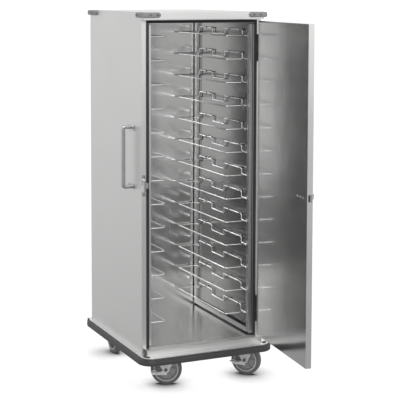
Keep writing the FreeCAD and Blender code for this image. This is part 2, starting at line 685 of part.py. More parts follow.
def brake_pedal():
    """Stamped lever on the axle bolt: a low bar beside the wheel with a foot pad turned out."""
    reach = WHEEL_RADIUS - 5.0
    bar_low = WHEEL_RADIUS - 26.0
    bar_high = WHEEL_RADIUS - 7.0
    outline = [(TRAIL + 8, WHEEL_RADIUS + 4), (TRAIL + 4, bar_low), (TRAIL - reach + 5, bar_low),
               (TRAIL - reach, bar_high), (TRAIL - reach + 14, bar_high + 6),
               (TRAIL - reach + 30, bar_high), (TRAIL - 14, bar_high),
               (TRAIL - 8, WHEEL_RADIUS + 4)]
    arm = prism([(x, -PEDAL_OUT, z) for x, z in outline], (0, 3.0, 0))
    eye = rod_along("y", 14.0, (TRAIL, -PEDAL_OUT, WHEEL_RADIUS), 3.0)
    pad = box(TRAIL - reach, TRAIL - 24, -PEDAL_OUT - 20, -PEDAL_OUT, bar_high - 3, bar_high)
    hole = rod_along("y", AXLE_RADIUS + RUNNING, (TRAIL, -PEDAL_OUT - 1, WHEEL_RADIUS), 5.0)
    return arm.fuse(eye).fuse(pad).cut(hole).removeSplitter()


def caster_bolts():
    """Four hexagon heads under each caster plate."""
    heads = []
    for place in list(FRONT_CASTERS.values()) + list(REAR_CASTERS.values()):
        x, y, _ = place
        turn = 90.0 if place in REAR_CASTERS.values() else 0.0
        for dx, dy in ((-40, -30), (-40, 30), (40, -30), (40, 30)):
            head = Part.makeCylinder(6.0, 3.4, vec(dx, dy, PLATE_TOP - 7.4))
            heads.append(placed(head, (x, y, turn)))
    return group(heads)


# ---------------------------------------------------------------- node list
NODES = {
    "left_outer_panel": side_panel,
    "right_outer_panel": lambda: mirrored(side_panel()),
    "back_outer_panel": back_panel,
    "top_cap": top_cap,
    "left_liner": side_liner,
    "right_liner": lambda: mirrored(side_liner()),
    "back_liner": back_liner,
    "ceiling_liner": ceiling_liner,
    "floor_pan": floor_pan,
    "insulation": insulation,
    "left_jamb": jamb,
    "right_jamb": lambda: mirrored(jamb()),
    "header": header,
    "sill": sill,
    "gasket": gasket,
    "corner_bumpers": corner_bumpers,
    "corner_bumper_screws": corner_bumper_screws,
    "deck_plate": deck_plate,
    "base_rails": base_rails,
    "bumper_track": bumper_track,
    "bumper_rubber": bumper_rubber,
    "front_posts": lambda: post_pair(FRONT_POST_Y),
    "rear_posts": lambda: post_pair(REAR_POST_Y),
    "post_foot_rails": post_foot_rails,
    "right_ledges": lambda: slide_rods(ledge),
    "left_ledges": lambda: mirrored(slide_rods(ledge)),
    "right_guards": lambda: slide_rods(guard),
    "left_guards": lambda: mirrored(slide_rods(guard)),
    "left_handle": pull_handle,
    "right_handle": lambda: mirrored(pull_handle()),
    "strike": strike,
    "fitting_screws": fitting_screws,
    "hinge_jamb_leaves": lambda: group([jamb_leaf(z) for z in HINGE_LEVELS]),
    "hinge_pins": hinge_pins,
    "hinge_door_leaves": lambda: opened(group([door_leaf(z) for z in HINGE_LEVELS])),
    "door_outer_skin": lambda: opened(door_outer_skin()),
    "door_inner_skin": lambda: opened(door_inner_skin()),
    "door_insulation": lambda: opened(door_insulation()),
    "latch_base": lambda: opened(latch_base()),
    "latch_lever": lambda: opened(latch_lever()),
    "latch_screws": lambda: opened(latch_screws()),
    "caster_bolts": caster_bolts,
    "front_caster_plates": lambda: group([placed(swivel_plate(), (x, y, 0.0))
                                          for x, y, _ in FRONT_CASTERS.values()]),
    "rear_axles": lambda: group([placed(axle_bolt(0.0, -LEG_OUTER, LEG_OUTER), place)
                                 for place in REAR_CASTERS.values()]),
}


def add_front_caster(name, place):
    NODES[name + "_fork"] = lambda: placed(swivel_fork(), place)
    NODES[name + "_axle"] = lambda: placed(axle_bolt(TRAIL, -PEDAL_OUT - 0.3, LEG_OUTER), place)
    NODES[name + "_pedal"] = lambda: placed(brake_pedal(), place)
    NODES[name + "_tyre"] = lambda: placed(tyre(TRAIL), place)
    NODES[name + "_core"] = lambda: placed(wheel_core(TRAIL), place)


def add_rear_caster(name, place):
    NODES[name + "_fork"] = lambda: placed(rigid_fork(), place)
    NODES[name + "_tyre"] = lambda: placed(tyre(0.0), place)
    NODES[name + "_core"] = lambda: placed(wheel_core(0.0), place)


for caster, spot in FRONT_CASTERS.items():
    add_front_caster(caster, spot)
for caster, spot in REAR_CASTERS.items():
    add_rear_caster(caster, spot)

os.makedirs("parts", exist_ok=True)
for node, build in NODES.items():
    shape = build()
    if not shape.isValid():
        raise ValueError(node + " is not a valid shape")
    shape.exportStep("parts/" + node + ".step")
    print(node, len(shape.Solids), round(shape.Volume))
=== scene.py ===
import json
import math

import bmesh
import bpy
import numpy as np
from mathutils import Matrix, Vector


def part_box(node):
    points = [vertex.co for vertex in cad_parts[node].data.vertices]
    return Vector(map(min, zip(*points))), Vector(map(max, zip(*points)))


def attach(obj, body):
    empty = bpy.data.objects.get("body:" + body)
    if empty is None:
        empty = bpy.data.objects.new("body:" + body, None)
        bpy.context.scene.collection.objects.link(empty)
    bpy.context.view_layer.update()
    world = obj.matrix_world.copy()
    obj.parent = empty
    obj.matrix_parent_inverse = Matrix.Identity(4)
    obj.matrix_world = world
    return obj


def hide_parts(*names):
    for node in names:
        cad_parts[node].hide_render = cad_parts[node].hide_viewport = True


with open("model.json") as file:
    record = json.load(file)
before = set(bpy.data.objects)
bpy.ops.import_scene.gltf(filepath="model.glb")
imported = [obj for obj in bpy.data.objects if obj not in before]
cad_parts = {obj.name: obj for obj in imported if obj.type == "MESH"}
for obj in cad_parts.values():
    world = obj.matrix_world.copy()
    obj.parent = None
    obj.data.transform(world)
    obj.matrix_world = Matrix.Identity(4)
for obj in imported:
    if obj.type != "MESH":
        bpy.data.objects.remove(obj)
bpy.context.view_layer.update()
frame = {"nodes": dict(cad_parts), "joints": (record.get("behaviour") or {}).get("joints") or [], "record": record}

# Insulated tray cart. Metres, +Z up, the door side faces -Y, the ground is z = 0.
# The frame brings every load-carrying piece at its true size. This script adds the
# bent, moulded and turned pieces as smooth surfaces and gives everything its finish.

MM = 0.001
UP = np.array([0.0, 0.0, 1.0])
TOWARD_DOOR = np.array([0.0, -1.0, 0.0])
RIGHT = np.array([1.0, 0.0, 0.0])

# ------------------------------------------------------------------ sizes from the frame
JOINTS = {joint["name"]: joint for joint in frame["joints"]}


def corners_of(node):
    """Lowest and highest corner of a frame node as arrays."""
    low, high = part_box(node)
    return np.array(low, float), np.array(high, float)


BUMPER_LOW, BUMPER_HIGH = corners_of("bumper_rubber")
TRACK_LOW, TRACK_HIGH = corners_of("bumper_track")
CAP_LOW, CAP_HIGH = corners_of("top_cap")
PAD_LOW, PAD_HIGH = corners_of("corner_bumpers")
GASKET_LOW, GASKET_HIGH = corners_of("gasket")
LEDGE_LOW, LEDGE_HIGH = corners_of("right_ledges")
GUARD_LOW, GUARD_HIGH = corners_of("right_guards")
HANDLE_LOW, HANDLE_HIGH = corners_of("left_handle")
DECK_LOW = corners_of("deck_plate")[0]
HINGE_AT = np.array(JOINTS["door_hinge"]["pos_m"], float)
DOOR_OPEN = math.radians(84.5)
HALF_WIDTH = CAP_HIGH[0]
LATCH_LEVEL = float(JOINTS["latch_pull"]["pos_m"][2])


# ------------------------------------------------------------------ surfaces
def grid_faces(rows, columns, wrap_rows, wrap_columns):
    """Quads between neighbours of a rows by columns grid, joined end to end where it wraps."""
    last_row = rows if wrap_rows else rows - 1
    last_column = columns if wrap_columns else columns - 1
    i, j = np.meshgrid(np.arange(last_row), np.arange(last_column), indexing="ij")
    down = (i + 1) % rows
    along = (j + 1) % columns
    corners = [i * columns + j, i * columns + along, down * columns + along, down * columns + j]
    return np.stack(corners, axis=-1).reshape(-1, 4).tolist()


def unit(vectors):
    """Vectors divided by their own lengths."""
    return vectors / np.linalg.norm(vectors, axis=-1, keepdims=True)


def rounded(corners, radius, closed=False, steps=8):
    """Polyline with arcs at its corners. An arc's centre lies radius / sin(half the corner's
    angle) along the bisector, and its points blend the two end radii by sin((1-t)a) and
    sin(ta) over sin(a)."""
    corners = np.array(corners, float)
    count = len(corners)
    stretches = [] if closed else [corners[:1]]
    for k in range(count) if closed else range(1, count - 1):
        corner = corners[k]
        back = unit(corners[k - 1] - corner)
        ahead = unit(corners[(k + 1) % count] - corner)
        half = np.arccos(np.clip(back @ ahead, -1, 1)) / 2
        centre = corner + unit(back + ahead) * radius / np.sin(half)
        start = corner + back * radius / np.tan(half) - centre
        end = corner + ahead * radius / np.tan(half) - centre
        angle = np.pi - 2 * half
        t = np.linspace(0, 1, steps + 1)[:, None]
        arc = (np.sin((1 - t) * angle) * start + np.sin(t * angle) * end) / np.sin(angle)
        stretches.append(centre + arc)
    if not closed:
        stretches.append(corners[-1:])
    return np.vstack(stretches)


def circle(radius, sides=12):
    """Points at radius * (cos a, sin a) for even steps of the angle a."""
    angle = np.linspace(0, 2 * np.pi, sides, endpoint=False)
    return radius * np.stack([np.cos(angle), np.sin(angle)], axis=-1)


def swept(path, section, side, closed=False):
    """Section carried along a flat path. Each point is the path's point + u * side
    + v * (side x direction), v stretched at a corner by one over the cosine of half the turn."""
    steps = np.roll(path, -1, axis=0) - path
    ahead = unit(steps if closed else np.vstack([steps[:-1], steps[-2:-1]]))
    behind = np.roll(ahead, 1, axis=0)
    if not closed:
        behind[0] = ahead[0]
    across = unit(np.cross(side, ahead) + np.cross(side, behind))
    across = across / np.sum(across * np.cross(side, ahead), axis=1, keepdims=True)
    u = section[None, :, 0, None] * side
    v = section[None, :, 1, None] * across[:, None, :]
    points = (path[:, None, :] + u + v).reshape(-1, 3)
    faces = grid_faces(len(path), len(section), closed, True)
    if not closed:
        first = list(range(len(section)))
        faces.append(first)
        faces.append([len(points) - len(section) + k for k in first])
    return points, faces


def turned(profile, centre, axis, sides=24):
    """Profile of (radius, height) pairs spun about an axis: centre + height * axis
    + radius * (cos a * p + sin a * q), with p and q square to the axis. Ends on the axis close."""
    axis = unit(np.array(axis, float))
    p = unit(np.cross(axis, [0.31, 0.62, 0.72]))
    q = np.cross(axis, p)
    angle = np.linspace(0, 2 * np.pi, sides, endpoint=False)
    spoke = np.cos(angle)[:, None] * p + np.sin(angle)[:, None] * q
    profile = np.array(profile, float)
    points = (np.array(centre) + profile[:, 1, None, None] * axis
              + profile[:, 0, None, None] * spoke[None])
    return points.reshape(-1, 3), grid_faces(len(profile), sides, False, True)


def block(low, high):
    """The eight corners and six faces of an upright box."""
    low, high = np.array(low, float), np.array(high, float)
    pick = np.array([[i, j, k] for i in (0, 1) for j in (0, 1) for k in (0, 1)])
    faces = [[0, 1, 3, 2], [4, 6, 7, 5], [0, 4, 5, 1], [2, 3, 7, 6], [0, 2, 6, 4], [1, 5, 7, 3]]
    return np.where(pick == 1, high, low), faces


def joined(pieces):
    """Several (points, faces) pairs as one pair."""
    start = 0
    all_points, all_faces = [], []
    for points, faces in pieces:
        all_points.append(points)
        all_faces += [[index + start for index in face] for face in faces]
        start += len(points)
    return np.vstack(all_points), all_faces


def mirrored(piece):
    """The same surface on the other side of x = 0."""
    points, faces = piece
    return points * [-1, 1, 1], faces


def moved(piece, offset):
    """The same surface carried by an offset."""
    points, faces = piece
    return points + np.array(offset), faces


def opened(piece):
    """A door surface turned about the hinge from closed to its place at rest."""
    points, faces = piece
    c, s = math.cos(DOOR_OPEN), math.sin(DOOR_OPEN)
    arm = points - HINGE_AT
    turned_arm = np.stack([c * arm[:, 0] - s * arm[:, 1], s * arm[:, 0] + c * arm[:, 1],
                           arm[:, 2]], axis=-1)
    return turned_arm + HINGE_AT, faces


def add_piece(name, piece, material, body, replaced=(), edge=0.0, smooth=True):
    """One mesh that rides on a body, with faces pointing out and, if asked, eased edges."""
    points, faces = piece
    mesh = bpy.data.meshes.new(name)
    mesh.from_pydata(points.tolist(), [], faces)
    work = bmesh.new()
    work.from_mesh(mesh)
    bmesh.ops.remove_doubles(work, verts=work.verts, dist=1e-6)
    bmesh.ops.recalc_face_normals(work, faces=work.faces)
    work.to_mesh(mesh)
    work.free()
    mesh.materials.append(material)
    mesh.polygons.foreach_set("use_smooth", [smooth] * len(mesh.polygons))
    if smooth:
        mesh.set_sharp_from_angle(angle=math.radians(40))
    item = bpy.data.objects.new(name, mesh)
    bpy.context.scene.collection.objects.link(item)
    if edge > 0:
        ease = item.modifiers.new("eased edges", "BEVEL")
        ease.width = edge
        ease.segments = 3
        ease.limit_method = "ANGLE"
        ease.angle_limit = math.radians(40)
    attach(item, body)
    if replaced:
        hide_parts(*replaced)
    return item


# ------------------------------------------------------------------ materials
def stainless_sheet(name, colour, gloss, grain, cloud, wave):
    """Rolled stainless sheet. Fine grain runs upright, gloss drifts in slow clouds, and a shallow
    wave bends what the sheet mirrors. Gloss is (lowest, highest) roughness."""
    material = bpy.data.materials.new(name)
    material.use_nodes = True
    nodes = material.node_tree.nodes
    links = material.node_tree.links
    nodes.clear()

    surface = nodes.new("NodeFrame")
    surface.label = "bare steel"
    output = nodes.new("ShaderNodeOutputMaterial")
    output.label = "sheet"
    steel = nodes.new("ShaderNodeBsdfPrincipled")
    steel.label = "stainless steel"
    steel.inputs["Metallic"].default_value = 1.0
    output.parent = surface
    steel.parent = surface

    grain_frame = nodes.new("NodeFrame")
    grain_frame.label = "rolling grain, upright"
    place = nodes.new("ShaderNodeTexCoord")
    place.label = "place on the cart"
    stretch = nodes.new("ShaderNodeMapping")
    stretch.label = "long in z, fine across"
    stretch.inputs["Scale"].default_value = (900.0, 900.0, 6.0)
    scratches = nodes.new("ShaderNodeTexNoise")
    scratches.label = "fine scratches"
    scratches.inputs["Scale"].default_value = 1.0
    scratches.inputs["Detail"].default_value = 3.0
    scratch_bump = nodes.new("ShaderNodeBump")
    scratch_bump.label = "scratch depth"
    scratch_bump.inputs["Strength"].default_value = grain
    scratch_bump.inputs["Distance"].default_value = 0.0002
    for node in (place, stretch, scratches, scratch_bump):
        node.parent = grain_frame

    cloud_frame = nodes.new("NodeFrame")
    cloud_frame.label = "clouds of gloss and tone"
    clouds = nodes.new("ShaderNodeTexNoise")
    clouds.label = "slow clouds"
    clouds.inputs["Scale"].default_value = 3.2
    clouds.inputs["Detail"].default_value = 4.0
    clouds.inputs["Roughness"].default_value = 0.55
    gloss_range = nodes.new("ShaderNodeMapRange")
    gloss_range.label = "gloss from clouds"
    gloss_range.inputs["From Min"].default_value = 0.3
    gloss_range.inputs["From Max"].default_value = 0.7
    gloss_range.inputs["To Min"].default_value = gloss[0]
    gloss_range.inputs["To Max"].default_value = gloss[1]
    tone = nodes.new("ShaderNodeMix")
    tone.label = "tone from clouds"
    tone.data_type = "RGBA"
    tone.inputs[6].default_value = (*[c * (1 - cloud) for c in colour], 1.0)
    tone.inputs[7].default_value = (*colour, 1.0)
    for node in (clouds, gloss_range, tone):
        node.parent = cloud_frame

    wave_frame = nodes.new("NodeFrame")
    wave_frame.label = "shallow wave of thin sheet"
    waves = nodes.new("ShaderNodeTexNoise")
    waves.label = "sheet wave"
    waves.inputs["Scale"].default_value = 4.5
    waves.inputs["Detail"].default_value = 1.0
    wave_bump = nodes.new("ShaderNodeBump")
    wave_bump.label = "wave depth"
    wave_bump.inputs["Strength"].default_value = 1.0
    wave_bump.inputs["Distance"].default_value = wave
    waves.parent = wave_frame
    wave_bump.parent = wave_frame

    links.new(place.outputs["Object"], stretch.inputs["Vector"])
    links.new(stretch.outputs["Vector"], scratches.inputs["Vector"])
    links.new(place.outputs["Object"], clouds.inputs["Vector"])
    links.new(place.outputs["Object"], waves.inputs["Vector"])
    links.new(clouds.outputs["Fac"], gloss_range.inputs["Value"])
    links.new(clouds.outputs["Fac"], tone.inputs["Factor"])
    links.new(tone.outputs[2], steel.inputs["Base Color"])
    links.new(gloss_range.outputs["Result"], steel.inputs["Roughness"])
    links.new(waves.outputs["Fac"], wave_bump.inputs["Height"])
    links.new(wave_bump.outputs["Normal"], scratch_bump.inputs["Normal"])
    links.new(scratches.outputs["Fac"], scratch_bump.inputs["Height"])
    links.new(scratch_bump.outputs["Normal"], steel.inputs["Normal"])
    links.new(steel.outputs["BSDF"], output.inputs["Surface"])
    for node, spot in ((output, (900, 0)), (steel, (600, 0)), (place, (-700, 0)),
                       (stretch, (-500, -300)), (scratches, (-300, -300)),
                       (scratch_bump, (300, -300)), (clouds, (-300, 200)),
                       (gloss_range, (0, 100)), (tone, (0, 350)), (waves, (-300, -600)),
                       (wave_bump, (0, -600))):
        node.location = spot
    return material


def plain_metal(name, colour, roughness, mottle, mottle_scale, dirt):
    """Plated or machined metal with a fine mottle and a little grime in slow patches."""
    material = bpy.data.materials.new(name)
    material.use_nodes = True
    nodes = material.node_tree.nodes
    links = material.node_tree.links
    nodes.clear()

    surface = nodes.new("NodeFrame")
    surface.label = "metal surface"
    output = nodes.new("ShaderNodeOutputMaterial")
    output.label = "piece"
    metal = nodes.new("ShaderNodeBsdfPrincipled")
    metal.label = "plated metal"
    metal.inputs["Metallic"].default_value = 1.0
    output.parent = surface
    metal.parent = surface

    mottle_frame = nodes.new("NodeFrame")
    mottle_frame.label = "mottle of the plating"
    place = nodes.new("ShaderNodeTexCoord")
    place.label = "place on the cart"
    grains = nodes.new("ShaderNodeTexNoise")
    grains.label = "plating grains"
    grains.inputs["Scale"].default_value = mottle_scale
    grains.inputs["Detail"].default_value = 3.0
    shine = nodes.new("ShaderNodeMapRange")
    shine.label = "gloss from grains"
    shine.inputs["To Min"].default_value = max(roughness - mottle, 0.03)
    shine.inputs["To Max"].default_value = roughness + mottle
    relief = nodes.new("ShaderNodeBump")
    relief.label = "grain relief"
    relief.inputs["Strength"].default_value = 0.12
    relief.inputs["Distance"].default_value = 0.0003
    for node in (place, grains, shine, relief):
        node.parent = mottle_frame

    dirt_frame = nodes.new("NodeFrame")
    dirt_frame.label = "grime in patches"
    patches = nodes.new("ShaderNodeTexNoise")
    patches.label = "patches"
    patches.inputs["Scale"].default_value = 14.0
    patches.inputs["Detail"].default_value = 5.0
    tone = nodes.new("ShaderNodeMix")
    tone.label = "clean to grimy"
    tone.data_type = "RGBA"
    tone.inputs[6].default_value = (*[c * (1 - dirt) for c in colour], 1.0)
    tone.inputs[7].default_value = (*colour, 1.0)
    patches.parent = dirt_frame
    tone.parent = dirt_frame

    links.new(place.outputs["Object"], grains.inputs["Vector"])
    links.new(place.outputs["Object"], patches.inputs["Vector"])
    links.new(grains.outputs["Fac"], shine.inputs["Value"])
    links.new(grains.outputs["Fac"], relief.inputs["Height"])
    links.new(patches.outputs["Fac"], tone.inputs["Factor"])
    links.new(tone.outputs[2], metal.inputs["Base Color"])
    links.new(shine.outputs["Result"], metal.inputs["Roughness"])
    links.new(relief.outputs["Normal"], metal.inputs["Normal"])
    links.new(metal.outputs["BSDF"], output.inputs["Surface"])
    for node, spot in ((output, (700, 0)), (metal, (400, 0)), (place, (-600, 0)),
                       (grains, (-350, -200)), (shine, (-50, -100)), (relief, (100, -350)),
                       (patches, (-350, 200)), (tone, (0, 200))):
        node.location = spot
    return material


def moulded(name, colour, roughness, pore_scale, pore_depth, bloom):
    """Rubber, plastic or paint: a dielectric with fine pores and a paler bloom in slow patches."""
    material = bpy.data.materials.new(name)
    material.use_nodes = True
    nodes = material.node_tree.nodes
    links = material.node_tree.links
    nodes.clear()

    surface = nodes.new("NodeFrame")
    surface.label = "moulded surface"
    output = nodes.new("ShaderNodeOutputMaterial")
    output.label = "piece"
    body = nodes.new("ShaderNodeBsdfPrincipled")
    body.label = "compound"
    output.parent = surface
    body.parent = surface

    pore_frame = nodes.new("NodeFrame")
    pore_frame.label = "pores of the mould"
    place = nodes.new("ShaderNodeTexCoord")
    place.label = "place on the cart"
    pores = nodes.new("ShaderNodeTexNoise")
    pores.label = "pores"
    pores.inputs["Scale"].default_value = pore_scale
    pores.inputs["Detail"].default_value = 2.0
    relief = nodes.new("ShaderNodeBump")
    relief.label = "pore depth"
    relief.inputs["Strength"].default_value = pore_depth
    relief.inputs["Distance"].default_value = 0.0004
    for node in (place, pores, relief):
        node.parent = pore_frame

    bloom_frame = nodes.new("NodeFrame")
    bloom_frame.label = "bloom and wear in patches"
    patches = nodes.new("ShaderNodeTexNoise")
    patches.label = "patches"
    patches.inputs["Scale"].default_value = 9.0
    patches.inputs["Detail"].default_value = 4.0
    tone = nodes.new("ShaderNodeMix")
    tone.label = "fresh to bloomed"
    tone.data_type = "RGBA"
    tone.inputs[6].default_value = (*colour, 1.0)
    tone.inputs[7].default_value = (*[c + bloom * (0.6 - c) for c in colour], 1.0)
    wear = nodes.new("ShaderNodeMapRange")
    wear.label = "gloss from patches"
    wear.inputs["To Min"].default_value = roughness - 0.08
    wear.inputs["To Max"].default_value = min(roughness + 0.08, 1.0)
    for node in (patches, tone, wear):
        node.parent = bloom_frame

    links.new(place.outputs["Object"], pores.inputs["Vector"])
    links.new(place.outputs["Object"], patches.inputs["Vector"])
    links.new(pores.outputs["Fac"], relief.inputs["Height"])
    links.new(patches.outputs["Fac"], tone.inputs["Factor"])
    links.new(patches.outputs["Fac"], wear.inputs["Value"])
    links.new(tone.outputs[2], body.inputs["Base Color"])
    links.new(wear.outputs["Result"], body.inputs["Roughness"])
    links.new(relief.outputs["Normal"], body.inputs["Normal"])
    links.new(body.outputs["BSDF"], output.inputs["Surface"])
    for node, spot in ((output, (700, 0)), (body, (400, 0)), (place, (-600, 0)),
                       (pores, (-350, -250)), (relief, (0, -250)), (patches, (-350, 200)),
                       (tone, (0, 250)), (wear, (0, 0))):
        node.location = spot
    return material


SATIN = stainless_sheet("satin stainless", (0.72, 0.72, 0.715), (0.36, 0.44), 0.10, 0.06, 0.0004)
LINER = stainless_sheet("liner stainless", (0.80, 0.80, 0.795), (0.13, 0.20), 0.02, 0.07, 0.0024)
# Side liners: the interior steel copied with its tone darkened to the shade the side walls show, painted shade.
SHADED_SIDE_LINER = stainless_sheet("side liner stainless, painted shade", (0.32, 0.32, 0.318), (0.10, 0.16), 0.02, 0.08,
                             0.0008)
# Floor pan: the interior steel copied with a darker tone, painted shade.
SHADED_FLOOR_SHEET = stainless_sheet("floor stainless, painted shade", (0.66, 0.66, 0.655), (0.16, 0.22), 0.02, 0.08, 0.0006)
# Door inner skin: the interior steel copied with its tone darkened to the shade it shows, painted shade.
SHADED_DOOR_SHEET = stainless_sheet("door stainless, painted shade", (0.42, 0.42, 0.418), (0.11, 0.17), 0.02, 0.08, 0.0010)
RACK = stainless_sheet("rack stainless", (0.84, 0.84, 0.835), (0.34, 0.42), 0.06, 0.08, 0.0002)
# Front posts: the rack steel copied with a darker tone, painted shade.
SHADED_FRONT_RACK = stainless_sheet("front rack stainless, painted shade", (0.60, 0.60, 0.598), (0.34, 0.42), 0.06, 0.08,
                             0.0002)
WIRE = plain_metal("polished wire", (0.92, 0.92, 0.92), 0.12, 0.03, 300.0, 0.05)
SCREW = plain_metal("screw steel", (0.24, 0.24, 0.245), 0.30, 0.08, 500.0, 0.20)
# Base frame: near black, partly the chassis's own dark steel and partly painted shade for the dark beneath the
# deck.
BASE = plain_metal("dark chassis steel, partly painted shade", (0.16, 0.16, 0.16), 0.50, 0.10, 80.0, 0.25)
TRACK_FINISH = plain_metal("anodised track", (0.78, 0.78, 0.78), 0.32, 0.06, 200.0, 0.06)
CHROME = plain_metal("bright chrome", (0.70, 0.70, 0.71), 0.08, 0.03, 260.0, 0.05)
ZINC = plain_metal("zinc plate", (0.95, 0.95, 0.96), 0.60, 0.12, 120.0, 0.08)
CORE = moulded("wheel centre", (0.22, 0.22, 0.225), 0.42, 400.0, 0.20, 0.05)
RIM = moulded("rim ring", (0.38, 0.38, 0.385), 0.40, 400.0, 0.15, 0.05)
BUMPER = moulded("bumper rubber", (0.022, 0.022, 0.023), 0.52, 420.0, 0.25, 0.03)
GASKET = moulded("door seal", (0.009, 0.009, 0.0095), 0.58, 500.0, 0.15, 0.02)
PAD = moulded("corner pad", (0.15, 0.15, 0.15), 0.50, 380.0, 0.25, 0.06)
TREAD = moulded("wheel tread", (0.075, 0.075, 0.078), 0.55, 450.0, 0.25, 0.05)
BLACK_SCREW = moulded("blackened screw", (0.010, 0.010, 0.011), 0.40, 600.0, 0.15, 0.02)
# Pull handles and their feet: the bright chrome copied with a lower tone so that it mirrors darker, painted shade.
SHADED_HANDLE_CHROME = plain_metal("handle chrome, painted shade", (0.50, 0.50, 0.505), 0.12, 0.03, 260.0, 0.05)
HINGE_PAINT = moulded("black hinge paint", (0.012, 0.012, 0.013), 0.35, 350.0, 0.15, 0.02)
FOAM = moulded("insulation foam", (0.86, 0.84, 0.76), 0.85, 200.0, 0.6, 0.02)

SLOT_FINISH = {
    "satin_stainless": SATIN,
    "bright_stainless": LINER,
    "rack_steel": RACK,
    "slide_wire": WIRE,
    "insulation": FOAM,
    "gasket_rubber": GASKET,
    "pad_rubber": PAD,
    "screw_steel": SCREW,
    "base_steel": BASE,
    "track_aluminium": TRACK_FINISH,
    "bumper_rubber": BUMPER,
    "handle_chrome": CHROME,
    "hinge_black": HINGE_PAINT,
    "caster_zinc": ZINC,
    "wheel_core": CORE,
    "wheel_tread": TREAD,
}
# The floor, front posts, side liners and door inner skin get copies of their slot's steel with darker tones,
# painted shade; the screws get their own finishes.
NODE_FINISH = {
    "floor_pan": SHADED_FLOOR_SHEET,
    "front_posts": SHADED_FRONT_RACK,
    "left_liner": SHADED_SIDE_LINER,
    "right_liner": SHADED_SIDE_LINER,
    "door_inner_skin": SHADED_DOOR_SHEET,
    "corner_bumper_screws": BLACK_SCREW,
    "latch_screws": CHROME,
}
for part in frame["record"]["subparts"]:
    node = part["node"]
    node_mesh = frame["nodes"][node].data
    node_mesh.materials.clear()
    node_mesh.materials.append(NODE_FINISH.get(node, SLOT_FINISH[part["material_slot"]]))


# ------------------------------------------------------------------ bumper and its track
def outline(half_width, front, back, radius):
    """Rounded rectangle at z = 0, clockwise seen from above so that a section's v points outwards."""
    corners = [(-half_width, front, 0), (-half_width, back, 0), (half_width, back, 0),
               (half_width, front, 0)]
    return rounded(corners, radius, closed=True, steps=16)


def bumper_section(low, high, depth):
    """Rubber strip: flat at the back, a round nose at top and bottom, and a groove half way up."""
    ease = 5 * MM
    t = np.linspace(0, np.pi / 2, 6)
    lower = np.stack([low + ease * (1 - np.sin(t)), depth - ease * (1 - np.cos(t))], axis=-1)[::-1]
    upper = np.stack([high - ease * (1 - np.sin(t)), depth - ease * (1 - np.cos(t))], axis=-1)
    middle = (low + high) / 2
    mouth_half = 2.0 * MM
    floor_half = 0.8 * MM
    groove_depth = 1.2 * MM
    groove = np.array([(middle - mouth_half, depth), (middle - floor_half, depth - groove_depth),
                       (middle + floor_half, depth - groove_depth), (middle + mouth_half, depth)])
    return np.vstack([[(low, 0.0)], lower, groove, upper[::-1], [(high, 0.0)]])


BUMPER_CORNER = 70 * MM
rubber_depth = 12 * MM
inner = outline(BUMPER_HIGH[0] - rubber_depth, BUMPER_LOW[1] + rubber_depth,
                BUMPER_HIGH[1] - rubber_depth, BUMPER_CORNER - rubber_depth)
bumper_profile = bumper_section(BUMPER_LOW[2], BUMPER_HIGH[2], rubber_depth)
add_piece("bumper_strip", swept(inner, bumper_profile, UP, closed=True), BUMPER, "cabinet",
          replaced=["bumper_rubber"])


def track_section(low, high, web, lip):
    """Upright web with a round bead on top that leans inwards over the deck's edge."""
    t = np.linspace(0, np.pi, 7)
    bead = 0.75 * MM
    crest = np.stack([high - bead + bead * np.sin(t), (web - bead) * np.ones(7) + bead * np.cos(t)],
                     axis=-1)
    return np.vstack([[(low, 0.0), (low, web)], [(high - 2 * bead, web)], crest[:4],
                      [(high, -lip + bead), (high - bead, -lip), (high - 2 * bead, -lip + 0.2 * MM),
                       (high - 2 * bead, 0.0)]])


track_web = 3 * MM
track_lip = 5 * MM
web_inner = outline(TRACK_HIGH[0] - track_web, TRACK_LOW[1] + track_web,
                    TRACK_HIGH[1] - track_web, BUMPER_CORNER - rubber_depth - track_web)
track_profile = track_section(TRACK_LOW[2], TRACK_HIGH[2], track_web, track_lip)
add_piece("bumper_track_bead", swept(web_inner, track_profile, UP, closed=True), TRACK_FINISH,
          "cabinet", replaced=["bumper_track"])


# ------------------------------------------------------------------ black webs under the deck's notches, painted shade
web_edge = 294.5 * MM
web_reach = 75 * MM
web_thickness = 2 * MM
web_clearance = 1 * MM
rubber_and_track = rubber_depth + track_web
web_top = DECK_LOW[2] - web_clearance
webs = []
for near, far in ((BUMPER_LOW[1] + rubber_and_track, BUMPER_LOW[1] + web_reach),
                  (BUMPER_HIGH[1] - web_reach, BUMPER_HIGH[1] - rubber_and_track)):
    web = block((web_edge, near, web_top - web_thickness),
                (BUMPER_HIGH[0] - rubber_and_track, far, web_top))
    webs += [web, mirrored(web)]
# Near-black seal rubber on these webs makes the notches read dark: a dark sheet standing in for the shade under
# the deck.
add_piece("corner_shade_plates", joined(webs), GASKET, "cabinet", edge=0.5 * MM)


# ------------------------------------------------------------------ door seal
def seal_section(width, proud):
    """Bulb seal: a flat foot, two lips and a soft crown with a groove along its middle."""
    v = np.linspace(-width / 2, width / 2, 17)
    share = 2 * v / width
    crown = proud * (0.78 + 0.22 * np.cos(np.pi * share * 2)) * (1 - share ** 8)
    return np.vstack([np.stack([crown, v], axis=-1), [(0.0, width / 2), (0.0, -width / 2)]])


seal_width = 14 * MM
seal_proud = 6.5 * MM
seal_x = 281 * MM
seal_top = GASKET_HIGH[2] - seal_width / 2
wall = GASKET_LOW[1] + seal_proud
dip_reach = 30 * MM
dip_half = 16.5 * MM
dip_share = 0.93

